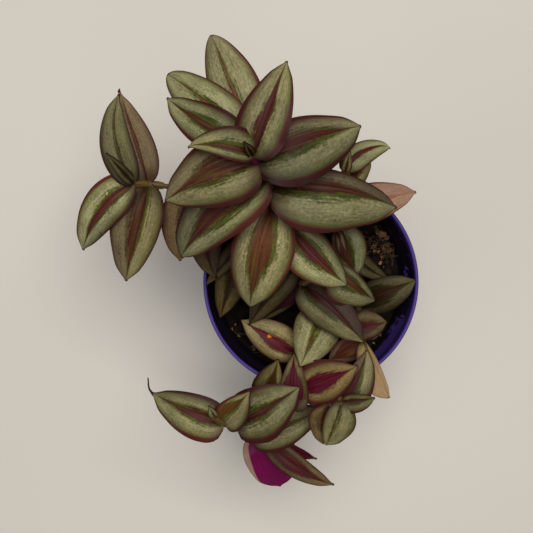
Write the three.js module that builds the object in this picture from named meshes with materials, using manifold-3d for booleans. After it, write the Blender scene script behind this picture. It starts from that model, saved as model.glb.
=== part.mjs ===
// A potted tradescantia (inch plant): leafy stems growing out of a small plastic nursery pot,
// some upright, some arching over the rim. Millimetres, +Z up. The origin is the middle of the
// pot's flat underside.
import * as THREE from 'three';
import { mergeVertices } from 'three/addons/utils/BufferGeometryUtils.js';
import Module from 'manifold-3d';

// Pot
const POT_HEIGHT = 80;
const RIM_RADIUS = 45;
const RIM_WIDTH = 1.5;
const RIM_BAND = 8;
const RIM_ROUND = 0.5;
const SHOULDER_RADIUS = 42.6;
const BASE_RADIUS = 31.5;
const BASE_ROUND = 1;
const WALL = 1.1;
const FLOOR_THICKNESS = 1.6;
const POT_SIDES = 48;
const DRAIN_COUNT = 8;
const DRAIN_RADIUS = 3;
const DRAIN_RING = 23;
const DRAIN_SIDES = 10;

// Soil
const SOIL_BELOW_RIM = 17;
const SOIL_GAP = 0.35;
const SOIL_RELIEF = 0.8;
const SOIL_SIDES = 28;
const SOIL_RINGS = 6;
const HOLE_GAP = 0.35;

// Stems
const STEM_SIDES = 6;
const STEM_RADIUS = 1.5;
const STEM_STEP = 5;
const ROOT_DEPTH = 12;

// Leaf blades
const BLADE_THICKNESS = 0.8;
const BLADE_STATIONS = [0, 0.07, 0.22, 0.45, 0.74, 1];
const BLADE_RIBS = [-1, -0.5, 0, 0.5, 1];
const SMALL_BLADE = 9;
const SMALL_STATIONS = [0, 0.12, 0.4, 0.7, 1];
const SMALL_RIBS = [-1, 0, 1];
const OUTLINE_START = 0.004;
const OUTLINE_RISE = 0.4;
const OUTLINE_FALL = 0.78;
const TIP_HALF_WIDTH = 0.35;
const HANDLE = 0.37;
const ARCH = 1.3;
const FOLD_DEG = 15;
const CLASP_DEG = 48;
const CLASP_REACH = 0.22;
const TIP_FOLD_DEG = 26;
const TIP_REACH = 0.3;
const CURL_DEG = 34;

// Colours
const POT_PURPLE = 0x43358f;
const SOIL_BROWN = 0x241a12;
const LEAF_GREEN = 0x7d8560;

// The photograph looks straight down at the rim, 533 pixels a side. A place in the plant is given
// as the column and row where the photograph shows it, and its height above the rim.
const PHOTO_MIDDLE = 266.5;
const POT_COLUMN = 311;
const POT_ROW = 282;
const RIM_PIXELS = 108;
const VIEW_ABOVE_RIM = 280;
const PIXEL = RIM_RADIUS / RIM_PIXELS;

// Each stem is a list of its nodes, from the soil to the growing tip. Each leaf grows from a node:
// tip is where its point is, width its widest and share the part of the width left of its midrib.
// In degrees, lift is how it leaves the stem above its chord, droop how its point hangs below it,
// sweep bends it to the left, roll raises its left half and fold closes its two halves.
const SHOOTS = [
  {
    name: 'shoot_crown',
    nodes: [
      [303, 258, -13], [299, 246, 2], [290, 230, 17], [273, 206, 27], [269, 188, 36], [266, 179, 40],
      [257, 163, 46], [252, 155, 50],
    ],
    leaves: [
      { node: 7, tip: [287, 61, 50], width: 19, share: 0.5, lift: 24, droop: 18, roll: -8, rise: 0.28 },
      {
        node: 7, tip: [188, 147, 50], width: 12, share: 0.36, lift: 52, droop: 36,
        sweep: 19, fall: 1,
      },
      { node: 7, tip: [244, 142, 58], width: 4, lift: 10, droop: 5, fold: 50 },
      { node: 6, tip: [361, 126, 37], width: 23.5, share: 0.41, lift: 30, droop: 20, sweep: -2 },
      { node: 6, tip: [165, 201, 36], width: 25, share: 0.48, lift: 30, droop: 20, sweep: 6, rise: 0.3 },
      {
        node: 5, tip: [181, 257, 24], width: 24, share: 0.46, lift: 28, droop: 22,
        sweep: 13, rise: 0.3, fall: 0.66,
      },
      { node: 4, tip: [397, 208, 24], width: 24, share: 0.29, lift: 26, droop: 18, sweep: -13 },
      {
        node: 3, tip: [250, 307, 16], width: 24, share: 0.56, lift: 28, droop: 24,
        sweep: 8, rise: 0.5,
      },
      { node: 2, tip: [347, 285, 12], width: 19, share: 0.45, lift: 26, droop: 20, sweep: 8 },
      { node: 1, tip: [249, 325, -1], width: 15, lift: 28, droop: 22 },
    ],
  },
  {
    name: 'shoot_back',
    nodes: [
      [283, 232, -13], [272, 205, 4], [260, 168, 18], [252, 140, 25], [248, 138, 31], [245, 143, 37],
    ],
    leaves: [
      { node: 5, tip: [167, 98, 30], width: 16.5, share: 0.52, lift: 24, droop: 16, sweep: -12 },
      { node: 4, tip: [168, 74, 22], width: 18.5, share: 0.54, lift: 26, droop: 18, fall: 0.68 },
      { node: 3, tip: [211, 35, 17], width: 20, share: 0.46, lift: 28, droop: 18, fall: 0.74 },
    ],
  },
  {
    name: 'shoot_right',
    nodes: [
      [336, 250, -13], [338, 230, 3], [341, 213, 16], [345, 192, 24], [345, 172, 28],
    ],
    leaves: [
      {
        node: 4, tip: [390, 148, 18], width: 10, share: 0.43, lift: 34, droop: 30,
        sweep: -46, fall: 1,
      },
      { node: 4, tip: [350, 151, 34], width: 4, lift: 16, droop: 10, fold: 30 },
      { node: 3, tip: [371, 161, 15], width: 10, lift: 24, droop: 16, sweep: -20 },
      { node: 2, tip: [416, 192, 12], width: 16, lift: 24, droop: 14, sweep: -4 },
      { node: 1, tip: [344, 264, -1], width: 5, lift: 30, droop: 20, fold: 40 },
      { node: 1, tip: [355, 277, -4], width: 14, share: 0.6, lift: 30, droop: 14, sweep: -8 },
      { node: 1, tip: [391, 280, -12], width: 10, lift: 0, droop: 6, sweep: 24 },
    ],
  },
  {
    name: 'shoot_middle',
    nodes: [
      [318, 262, -13], [310, 268, -4], [303, 284, 1], [319, 272, 5], [334, 266, 7],
    ],
    leaves: [
      { node: 4, tip: [375, 301, 3], width: 16, share: 0.27, lift: 22, droop: 16, sweep: 3 },
      { node: 2, tip: [364, 343, 5], width: 18, share: 0.43, lift: 22, droop: 14, sweep: -8 },
      { node: 1, tip: [262, 321, -7], width: 11, lift: 16, droop: 10 },
    ],
  },
  {
    name: 'shoot_low',
    nodes: [
      [352, 290, -13], [358, 302, -8], [357, 318, -6], [353, 331, -4], [363, 340, 1],
    ],
    leaves: [
      { node: 1, tip: [416, 280, 2], width: 15.5, share: 0.46, lift: 20, droop: 16, fall: 0.66 },
      { node: 3, tip: [387, 322, -5], width: 13.5, share: 0.6, lift: 16, droop: 12, fold: 18 },
      { node: 4, tip: [328, 361, -5], width: 11, lift: 16, droop: 12 },
      { node: 4, tip: [389, 398, 2], width: 9.5, share: 0.2, lift: 30, droop: 16, rise: 0.6, fall: 0.5 },
    ],
  },
  {
    name: 'shoot_left',
    nodes: [
      [262, 258, -13], [246, 238, 0], [214, 208, 9], [190, 192, 12], [148, 184, 15], [134, 184, 18],
    ],
    leaves: [
      { node: 5, tip: [119, 94, 18], width: 13, lift: 20, droop: 12, sweep: -24, fold: 22 },
      { node: 5, tip: [106, 153, 25], width: 5, lift: 12, droop: 8, fold: 30 },
      { node: 5, tip: [83, 250, 5], width: 17, share: 0.46, lift: 28, droop: 18, sweep: 16 },
      { node: 4, tip: [126, 281, 1], width: 21, share: 0.46, lift: 28, droop: 18, sweep: -3 },
      { node: 4, tip: [119, 91, 10], width: 14.5, lift: 16, droop: 12, sweep: 4, fall: 0.95 },
      { node: 3, tip: [180, 261, 2], width: 18, share: 0.44, lift: 24, droop: 16 },
      { node: 2, tip: [216, 278, 7], width: 15, share: 0.45, lift: 22, droop: 12, sweep: 24 },
      { node: 1, tip: [206, 285, 4], width: 8, lift: 30, droop: 12 },
      { node: 1, tip: [220, 318, -7], width: 15, lift: 24, droop: 20 },
    ],
  },
  {
    name: 'shoot_trail_right',
    nodes: [
      [326, 300, -13], [321, 313, -4], [317, 345, -2], [313, 378, 3], [303, 389, 2.6], [333, 405, 7],
      [342, 401, 12],
    ],
    leaves: [
      { node: 1, tip: [300, 367, 9], width: 20, share: 0.53, lift: 24, droop: 16 },
      { node: 4, tip: [358, 366, 13], width: 20, share: 0.5, lift: 14, droop: 16, rise: 0.35 },
      {
        node: 5, tip: [367, 350, 6], width: 14.5, share: 0.38, lift: 20, droop: 14, sweep: 16,
        fold: 20,
      },
      { node: 5, tip: [323, 444, 2], width: 13.5, share: 0.34, lift: 24, droop: 18 },
      { node: 6, tip: [326, 445, 8], width: 13, share: 0.62, lift: 32, droop: 22, rise: 0.55 },
      { node: 6, tip: [375, 398, 13], width: 8, share: 0.36, lift: 20, droop: 14, fold: 24 },
    ],
  },
  {
    name: 'shoot_trail_left',
    nodes: [
      [296, 340, -13], [297, 352, -5], [289, 374, 3], [289, 408, 6], [270, 397, 3], [264, 420, -8],
      [266, 440, -19], [252, 438, -9], [236, 422, 1], [224, 423, 5], [215, 416, 9],
    ],
    leaves: [
      { node: 1, tip: [241, 320, -3], width: 16, share: 0.5, lift: 20, droop: 14 },
      { node: 3, tip: [294, 353, 6], width: 13, share: 0.42, lift: 20, droop: 14, rise: 0.2 },
      { node: 4, tip: [278, 359, 8], width: 13, share: 0.67, lift: 4, droop: 4, fold: 30, rise: 0.3 },
      {
        node: 6, tip: [280, 486, -30], width: 24, share: 0.5, fold: 8, rise: 0.12, fall: 0.38,
        roll: 180,
      },
      { node: 6, tip: [334, 485, -20], width: 11, lift: 20, droop: 14, sweep: 10 },
      { node: 6, tip: [317, 459, -23], width: 6, lift: 12, droop: 10 },
      { node: 7, tip: [325, 407, -8], width: 17.5, share: 0.49, lift: 28, droop: 18 },
      { node: 8, tip: [300, 387, 9], width: 24, share: 0.46, lift: 30, droop: 20 },
      { node: 9, tip: [152, 393, 2], width: 19, share: 0.57, lift: 24, droop: 14, rise: 0.34 },
      { node: 9, tip: [250, 391, 17], width: 14, share: 0.52, lift: 22, droop: 12, fold: 30 },
      { node: 10, tip: [209, 406, 15], width: 4, lift: 14, droop: 8, fold: 40 },
    ],
  },
];

const { cos, sin, PI } = Math;
const radians = THREE.MathUtils.degToRad;
const wasm = await Module();
wasm.setup();

// A closed geometry as a solid that can be joined and cut.
function solid(geometry) {
  geometry.deleteAttribute('normal');
  geometry.deleteAttribute('uv');
  const merged = mergeVertices(geometry, 1e-4);
  const vertProperties = new Float32Array(merged.attributes.position.array);
  const triVerts = new Uint32Array(merged.index.array);
  return new wasm.Manifold(new wasm.Mesh({ numProp: 3, vertProperties, triVerts }));
}

function joined(solids) {
  return solids.reduce((whole, piece) => whole.add(piece));
}

// One body, with the small pockets shut in between leaf bases filled.
function filled(name, shape) {
  const bodies = shape.decompose().sort((a, b) => b.volume() - a.volume());
  if (bodies.filter((body) => body.volume() > 0).length > 1) throw new Error(`${name} has a loose leaf`);
  return bodies[0];
}

function toMesh(name, shape, color, roughness) {
  const { numProp, vertProperties, triVerts } = shape.getMesh();
  const interleaved = new THREE.InterleavedBuffer(vertProperties, numProp);
  const geometry = new THREE.BufferGeometry();
  geometry.setAttribute('position', new THREE.InterleavedBufferAttribute(interleaved, 3, 0));
  geometry.setIndex(new THREE.BufferAttribute(triVerts, 1));
  const flat = geometry.toNonIndexed();
  flat.computeVertexNormals();
  const material = new THREE.MeshStandardMaterial({ color, roughness, metalness: 0 });
  const mesh = new THREE.Mesh(flat, material);
  mesh.name = name;
  return mesh;
}

// A solid turned about +Z, from a profile of [radius, height] points.
function turned(profile, sides) {
  const points = profile.map(([radius, height]) => new THREE.Vector2(radius, height));
  const geometry = new THREE.LatheGeometry(points, sides);
  geometry.rotateX(PI / 2);
  return geometry;
}

function upright(radius, low, high, sides, x, y) {
  const geometry = new THREE.CylinderGeometry(radius, radius, high - low, sides);
  geometry.rotateX(PI / 2);
  geometry.translate(x, y, (low + high) / 2);
  return solid(geometry);
}

// The place that the photograph shows at a column and row, at a height above the rim.
function seen([column, row, height]) {
  const scale = PIXEL * (1 - height / VIEW_ABOVE_RIM);
  const x = (PHOTO_MIDDLE - POT_COLUMN) * PIXEL + (column - PHOTO_MIDDLE) * scale;
  const y = (POT_ROW - PHOTO_MIDDLE) * PIXEL - (row - PHOTO_MIDDLE) * scale;
  return new THREE.Vector3(x, y, POT_HEIGHT + height);
}

function innerRadius(height) {
  const along = height / (POT_HEIGHT - RIM_BAND);
  return BASE_RADIUS + (SHOULDER_RADIUS - BASE_RADIUS) * along - WALL;
}

// Thin wall, flat floor with drain holes in a ring, and a wider band under a narrow rolled rim.
function makePot() {
  const bandLow = POT_HEIGHT - RIM_BAND;
  const rimInner = RIM_RADIUS - RIM_WIDTH;
  const profile = [
    [0, 0],
    [BASE_RADIUS - BASE_ROUND, 0],
    [BASE_RADIUS, BASE_ROUND],
    [SHOULDER_RADIUS, bandLow],
    [RIM_RADIUS, bandLow],
    [RIM_RADIUS, POT_HEIGHT - RIM_ROUND],
    [RIM_RADIUS - RIM_ROUND, POT_HEIGHT],
    [rimInner + RIM_ROUND, POT_HEIGHT],
    [rimInner, POT_HEIGHT - RIM_ROUND],
    [rimInner, bandLow + WALL],
    [innerRadius(bandLow), bandLow - WALL],
    [innerRadius(FLOOR_THICKNESS), FLOOR_THICKNESS],
    [0, FLOOR_THICKNESS],
  ];
  let pot = solid(turned(profile, POT_SIDES));
  for (let i = 0; i < DRAIN_COUNT; i++) {
    const turn = (2 * PI * i) / DRAIN_COUNT;
    const x = DRAIN_RING * cos(turn);
    const y = DRAIN_RING * sin(turn);
    pot = pot.subtract(upright(DRAIN_RADIUS, -1, FLOOR_THICKNESS + 1, DRAIN_SIDES, x, y));
  }
  return toMesh('pot', pot, POT_PURPLE, 0.45);
}

// The soil fills the pot to an uneven surface, with a plain hole where each stem goes in.
function makeSoil() {
  const level = POT_HEIGHT - SOIL_BELOW_RIM;
  const low = FLOOR_THICKNESS + SOIL_GAP;
  const radius = innerRadius(level) - SOIL_GAP;
  const profile = [[0, low], [innerRadius(low) - SOIL_GAP, low]];
  for (let ring = SOIL_RINGS; ring >= 0; ring--) {
    profile.push([(radius * ring) / SOIL_RINGS, level]);
  }
  const geometry = turned(profile, SOIL_SIDES);
  const place = geometry.attributes.position;
  for (let i = 0; i < place.count; i++) {
    if (place.getZ(i) < level - 1) continue;
    const x = place.getX(i);
    const y = place.getY(i);
    const inside = 1 - Math.min(1, Math.hypot(x, y) / radius);
    const swell = sin(x * 0.31 + 1) * cos(y * 0.27) + 0.6 * sin(x * 0.13 - y * 0.41);
    place.setZ(i, level + SOIL_RELIEF * swell * Math.min(1, 4 * inside));
  }
  const holes = SHOOTS.map(({ nodes }) => {
    const { x, y } = seen(nodes[0]);
    const low = level - ROOT_DEPTH - 1;
    return upright(STEM_RADIUS + HOLE_GAP, low, level + 5, STEM_SIDES, x, y);
  });
  return toMesh('soil', solid(geometry).subtract(joined(holes)), SOIL_BROWN, 0.95);
}

// A stem runs straight up from its root, then through its nodes.
function makeStem(nodes) {
  const points = nodes.map(seen);
  const level = POT_HEIGHT - SOIL_BELOW_RIM;
  const root = [-ROOT_DEPTH, -ROOT_DEPTH / 2, 0].map((depth) => points[0].clone().setZ(level + depth));
  const path = new THREE.CatmullRomCurve3([...root, ...points], false, 'centripetal');
  const corners = Array.from({ length: STEM_SIDES }, (_, i) => {
    const turn = (2 * PI * i) / STEM_SIDES;
    return new THREE.Vector2(STEM_RADIUS * cos(turn), STEM_RADIUS * sin(turn));
  });
  const steps = Math.ceil(path.getLength() / STEM_STEP);
  const section = new THREE.Shape(corners);
  return solid(new THREE.ExtrudeGeometry(section, { steps, extrudePath: path, bevelEnabled: false }));
}

// Half width of a blade along its length, as a share of its widest.
function outline(t, rise, fall) {
  const at = (place) => (place + OUTLINE_START) ** rise * (1 - place) ** fall;
  const widest = (rise - fall * OUTLINE_START) / (rise + fall);
  return at(t) / at(widest);
}

// The midrib runs from the stem to the tip and bends up, down and sideways on its way.
function midrib(base, leaf) {
  const { lift = 0, droop = 0, sweep = 0 } = leaf;
  const tip = seen(leaf.tip);
  const chord = tip.clone().sub(base);
  const length = chord.length();
  const heading = Math.atan2(chord.y, chord.x);
  const slope = Math.asin(chord.z / length);
  const reach = (turn, tilt) => {
    const away = slope + radians(ARCH * tilt);
    const round = heading + radians(turn);
    const aim = new THREE.Vector3(cos(away) * cos(round), cos(away) * sin(round), sin(away));
    return aim.multiplyScalar(HANDLE * length);
  };
  const afterBase = base.clone().add(reach(-sweep, lift));
  const beforeTip = tip.clone().sub(reach(sweep, -droop));
  const side = new THREE.Vector3(-sin(heading), cos(heading), 0);
  return { curve: new THREE.CubicBezierCurve3(base, afterBase, beforeTip, tip), side };
}

// A blade is a sheet of stations along the midrib and ribs across it. Its halves rise from the
// midrib and curl down to the margins, close round the stem at the base and close again at the tip.
function makeBlade(base, leaf) {
  const { rise = OUTLINE_RISE, fall = OUTLINE_FALL, fold = FOLD_DEG, roll = 0, share = 0.5 } = leaf;
  const small = leaf.width < SMALL_BLADE;
  const stations = small ? SMALL_STATIONS : BLADE_STATIONS;
  const ribs = small ? SMALL_RIBS : BLADE_RIBS;
  const { curve, side } = midrib(base, leaf);
  const curl = radians(CURL_DEG);
  const face = [];
  const back = [];
  for (const t of stations) {
    const middle = curve.getPoint(t);
    const ahead = curve.getTangent(t);
    const across = side.clone().addScaledVector(ahead, -side.dot(ahead)).normalize();
    across.applyAxisAngle(ahead, radians(roll));
    const up = ahead.clone().cross(across);
    const clasp = Math.max(0, 1 - t / CLASP_REACH) ** 1.5;
    const pinch = Math.max(0, 1 - (1 - t) / TIP_REACH) ** 1.5;
    const open = fold + (Math.max(CLASP_DEG, fold) - fold) * clasp + TIP_FOLD_DEG * pinch;
    const start = radians(open);
    for (const rib of ribs) {
      const half = rib < 0 ? share - 1 : share;
      const reach = Math.max(TIP_HALF_WIDTH, Math.abs(leaf.width * half) * outline(t, rise, fall));
      const slope = start - curl * Math.abs(rib);
      const out = (Math.sign(rib) * reach * (sin(start) - sin(slope))) / curl;
      const lifted = (reach * (cos(slope) - cos(start))) / curl;
      const place = middle.clone().addScaledVector(across, out).addScaledVector(up, lifted);
      const lean = rib === 0 ? 0 : slope;
      const normal = up.clone().multiplyScalar(cos(lean));
      normal.addScaledVector(across, -Math.sign(rib) * sin(lean));
      face.push(place);
      back.push(place.clone().addScaledVector(normal, -BLADE_THICKNESS));
    }
  }
  return solid(closedSheet(face, back, ribs.length - 1, stations.length - 1));
}

// A closed skin from two sheets of the same grid, with a wall round their border.
function closedSheet(face, back, columns, rows) {
  const grid = new THREE.PlaneGeometry(1, 1, columns, rows).index.array;
  const index = [];
  for (let i = 0; i < grid.length; i += 3) {
    const [a, b, c] = grid.slice(i, i + 3);
    index.push(a, b, c, a + face.length, c + face.length, b + face.length);
  }
  const across = columns + 1;
  const last = rows * across;
  const border = [];
  for (let i = 0; i < columns; i++) border.push(i);
  for (let i = 0; i < rows; i++) border.push(columns + i * across);
  for (let i = columns; i > 0; i--) border.push(last + i);
  for (let i = rows; i > 0; i--) border.push(i * across);
  border.forEach((here, i) => {
    const there = border[(i + 1) % border.length];
    index.push(here, there, here + face.length);
    index.push(there, there + face.length, here + face.length);
  });
  const geometry = new THREE.BufferGeometry().setFromPoints([...face, ...back]);
  geometry.setIndex(index);
  return geometry;
}

function makeShoot({ name, nodes, leaves }) {
  const blades = leaves.map((leaf) => makeBlade(seen(nodes[leaf.node]), leaf));
  return toMesh(name, filled(name, joined([makeStem(nodes), ...blades])), LEAF_GREEN, 0.5);
}

const plant = new THREE.Group();
plant.name = 'potted_tradescantia';
plant.add(makePot(), makeSoil(), ...SHOOTS.map(makeShoot));

export default plant;
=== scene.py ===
"""A potted tradescantia: striped leaves on trailing stems, growing from soil in a small nursery pot.

Laid out as an add-on and run as a script. The packed model is the fixed frame, and each finished
piece stands for one of its nodes. Metres, +Z up, with the origin under the middle of the pot.
"""
import math
import random

import bmesh
import bpy
from bpy.props import FloatProperty, FloatVectorProperty, IntProperty, PointerProperty
from mathutils import Matrix, Vector, noise


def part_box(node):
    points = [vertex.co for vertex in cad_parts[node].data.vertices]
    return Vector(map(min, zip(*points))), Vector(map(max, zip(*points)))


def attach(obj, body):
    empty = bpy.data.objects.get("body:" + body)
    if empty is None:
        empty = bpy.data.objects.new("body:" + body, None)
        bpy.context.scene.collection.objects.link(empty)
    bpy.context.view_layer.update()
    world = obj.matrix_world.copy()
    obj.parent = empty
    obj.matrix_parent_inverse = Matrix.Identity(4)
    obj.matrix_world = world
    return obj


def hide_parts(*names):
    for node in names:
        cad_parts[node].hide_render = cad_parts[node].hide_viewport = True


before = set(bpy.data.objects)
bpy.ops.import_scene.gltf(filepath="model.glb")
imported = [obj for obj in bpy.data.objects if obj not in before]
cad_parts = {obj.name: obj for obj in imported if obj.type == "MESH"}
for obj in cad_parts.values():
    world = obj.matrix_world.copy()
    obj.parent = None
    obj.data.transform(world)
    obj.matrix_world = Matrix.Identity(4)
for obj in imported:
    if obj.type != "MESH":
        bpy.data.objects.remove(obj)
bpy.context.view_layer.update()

bl_info = {
    "name": "Potted tradescantia",
    "version": (1, 0, 0),
    "blender": (4, 5, 0),
    "location": "3D View > Sidebar > Tradescantia",
    "description": "Models a potted tradescantia around its packed solids",
    "category": "Add Mesh",
}

MM = 0.001
BODY = "root"

# The photograph looks straight down at the rim. A place in the plant is the column and row where the
# photograph shows it and its height above the rim in millimetres, as in the part's own solids.
PHOTO_MIDDLE = 266.5
PHOTO_WIDTH = 533
POT_COLUMN = 311
POT_ROW = 282
RIM_PIXELS = 108
VIEW_ABOVE_RIM = 280.0
RIM_RADIUS = 45.0
PIXEL = RIM_RADIUS / RIM_PIXELS
POT_TOP = round(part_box("pot")[1][2] / MM, 3)

# A leaf has these values where its own row in the table below says nothing else
PLAIN_LEAF = dict(
    share=0.5, lift=0, droop=0, sweep=0, roll=0, fold=15, rise=0.4, fall=0.78, pointed=True,
    stripe=0.2, hue=0.5, lean=0, warm=0.4, light=1, aged=0, margin=0.08, rib=0.15, green=0.5,
    veil_left=0, veil_right=0, strip=0, spotted=0, tilt=0, painted_shade_along=0,
)
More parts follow.
